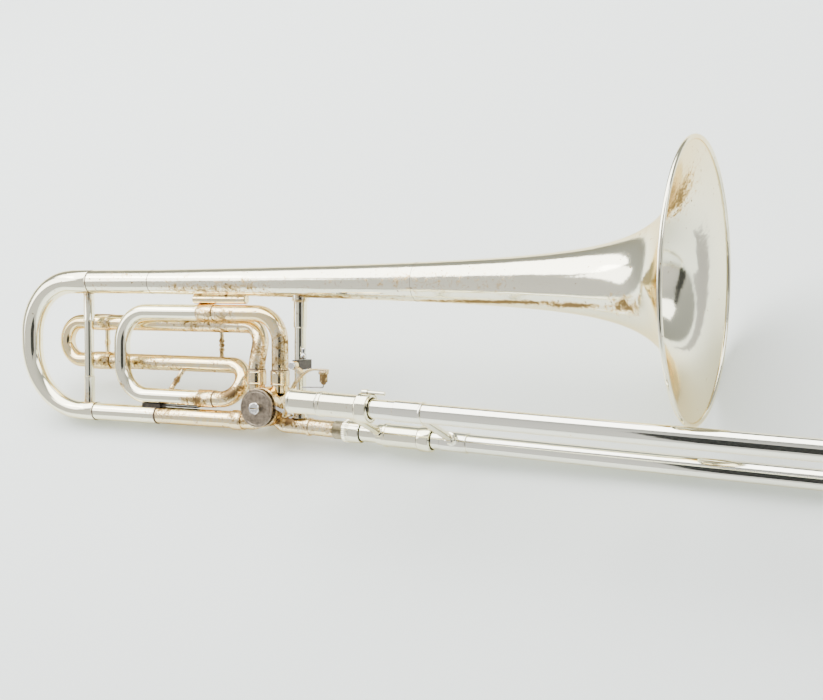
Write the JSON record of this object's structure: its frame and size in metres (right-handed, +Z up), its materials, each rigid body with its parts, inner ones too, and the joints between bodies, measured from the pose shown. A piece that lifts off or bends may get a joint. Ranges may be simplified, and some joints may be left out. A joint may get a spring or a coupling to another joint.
{
  "type": "trombone",
  "caption": "Silver-plated tenor trombone with a rotary valve and F attachment, hand slide closed, lying on its side.",
  "frame": {"origin": "centre of the bounding box at the level of the table it lies on", "axes": "+X along the hand slide towards its bow and the mouth of the bell, +Z up from the table, +Y from the slide towards the bell"},
  "size_m": [1.1764, 0.2622, 0.216],
  "materials": {
    "silver_plate": "silver-plated brass, polished, lightly tarnished",
    "silver_slide": "silver-plated drawn tube, mirror bright",
    "gilt_silver": "silver-plated brass with golden brown tarnish",
    "dark_metal": "oxidised, satin",
    "bare_brass": "plain machined brass",
    "nickel_silver": "drawn nickel silver",
    "spring_steel": "blued spring steel",
    "cork": "natural cork",
    "rubber": "black moulded rubber"
  },
  "bodies": {
    "horn": {"bell_flare": "silver_plate", "bell_stem": "silver_plate", "bell_rim_wire": "bare_brass", "tuning_slide_sleeves": "silver_plate", "neckpipe": "silver_plate", "valve_knuckles": "gilt_silver", "tube_ferrules": "silver_plate", "rotor_casing": "bare_brass", "rotor_bearings": "bare_brass", "rotor_back_cap": "bare_brass", "rotor_cork_bumpers": "cork", "f_loop_right_bend": "gilt_silver", "f_loop_left_bow": "silver_plate", "f_crook": "gilt_silver", "f_slide_sleeves": "gilt_silver", "f_return_bend": "gilt_silver", "bell_to_loop_bar": "silver_plate", "loop_to_neck_bracket": "silver_plate", "f_wrap_stays": "gilt_silver", "bell_brace": "silver_plate", "lever_saddle": "dark_metal", "lever_screws": "nickel_silver", "gooseneck": "gilt_silver", "slide_receiver_thread": "bare_brass", "slide_taper": "nickel_silver", "mouthpiece_receiver": "silver_plate", "slide_barrels": "silver_plate", "barrel_corks": "cork", "inner_brace": "silver_plate", "inner_slide_tubes": "nickel_silver", "leadpipe": "bare_brass"},
    "main_tuning_slide": {"tuning_slide_bow": "silver_plate", "tuning_slide_ferrules": "silver_plate", "tuning_slide_legs": "nickel_silver", "tuning_slide_brace": "silver_plate"},
    "f_tuning_slide": {"f_slide_bow": "gilt_silver", "f_slide_ferrules": "gilt_silver", "f_slide_legs": "nickel_silver", "f_slide_brace": "gilt_silver"},
    "rotor_assembly": {"rotor": "bare_brass", "rotor_drive_disc": "dark_metal", "rotor_drive_screw": "nickel_silver"},
    "lever_assembly": {"thumb_lever": "silver_plate", "thumb_knob": "silver_plate", "thumb_lever_wire": "spring_steel"},
    "link_bar": {"valve_link": "silver_plate"},
    "nut": {"lock_nut": "silver_plate"},
    "slide_lock": {"slide_lock_ring": "silver_plate"},
    "hand_slide": {"upper_outer_tube": "silver_slide", "lower_outer_tube": "silver_slide", "outer_brace_sleeves": "silver_slide", "bow_ferrules": "silver_slide", "outer_brace": "silver_slide", "slide_bow": "silver_slide", "slide_bumper": "rubber", "water_key_mount": "silver_plate", "water_key_screw": "spring_steel", "water_key_spring": "spring_steel"},
    "water_key": {"water_key_lever": "silver_plate", "water_key_cork": "cork"}
  },
  "joints": [
    {"name": "hand_slide_travel", "type": "slide", "parent": "horn", "child": "hand_slide", "axis": [0.9997, -0.0244, -0.0101], "range_m": [0, 0.575]},
    {"name": "main_tuning_pull", "type": "slide", "parent": "horn", "child": "main_tuning_slide", "axis": [-0.9999, 0, -0.0133], "range_m": [0, 0.045]},
    {"name": "f_tuning_pull", "type": "slide", "parent": "horn", "child": "f_tuning_slide", "axis": [-0.9999, 0, -0.0133], "range_m": [0, 0.04]},
    {"name": "lever_turn", "type": "hinge", "parent": "horn", "child": "lever_assembly", "pos_m": [-0.25481, -0.04749, 0.07485], "axis": [0.0096, 0.6909, -0.7229], "range_deg": [0, 20], "stiffness_Nm_per_rad": 0.05, "springref_deg": -9.74},
    {"name": "rotor_turn", "type": "hinge", "parent": "horn", "child": "rotor_assembly", "pos_m": [-0.29718, -0.05634, 0.02709], "axis": [-0.0096, -0.6909, 0.7229], "range_deg": [0, 90]},
    {"name": "link_swing", "type": "hinge", "parent": "lever_assembly", "child": "link_bar", "pos_m": [-0.26391, -0.07232, 0.03716], "axis": [-0.0096, -0.6909, 0.7229], "range_deg": [0, 20]},
    {"name": "lock_nut_turn", "type": "hinge", "parent": "horn", "child": "nut", "pos_m": [-0.21159, -0.06905, 0.01608], "axis": [0.9997, -0.0244, -0.0101], "range_deg": [0, 270]},
    {"name": "slide_lock_turn", "type": "hinge", "parent": "horn", "child": "slide_lock", "pos_m": [-0.15363, -0.10579, 0.09876], "axis": [0.9997, -0.0244, -0.0101], "range_deg": [0, 40]},
    {"name": "water_key_press", "type": "hinge", "parent": "hand_slide", "child": "water_key", "pos_m": [0.48752, -0.07397, 0.0142], "axis": [-0.0003, -0.3906, 0.9206], "range_deg": [0, 12], "stiffness_Nm_per_rad": 0.02, "springref_deg": -17.19}
  ],
  "couplings": [
    {"joint": "rotor_turn", "follows": "lever_turn", "ratio": 4.5},
    {"joint": "link_swing", "follows": "lever_turn", "ratio": 1}
  ]
}
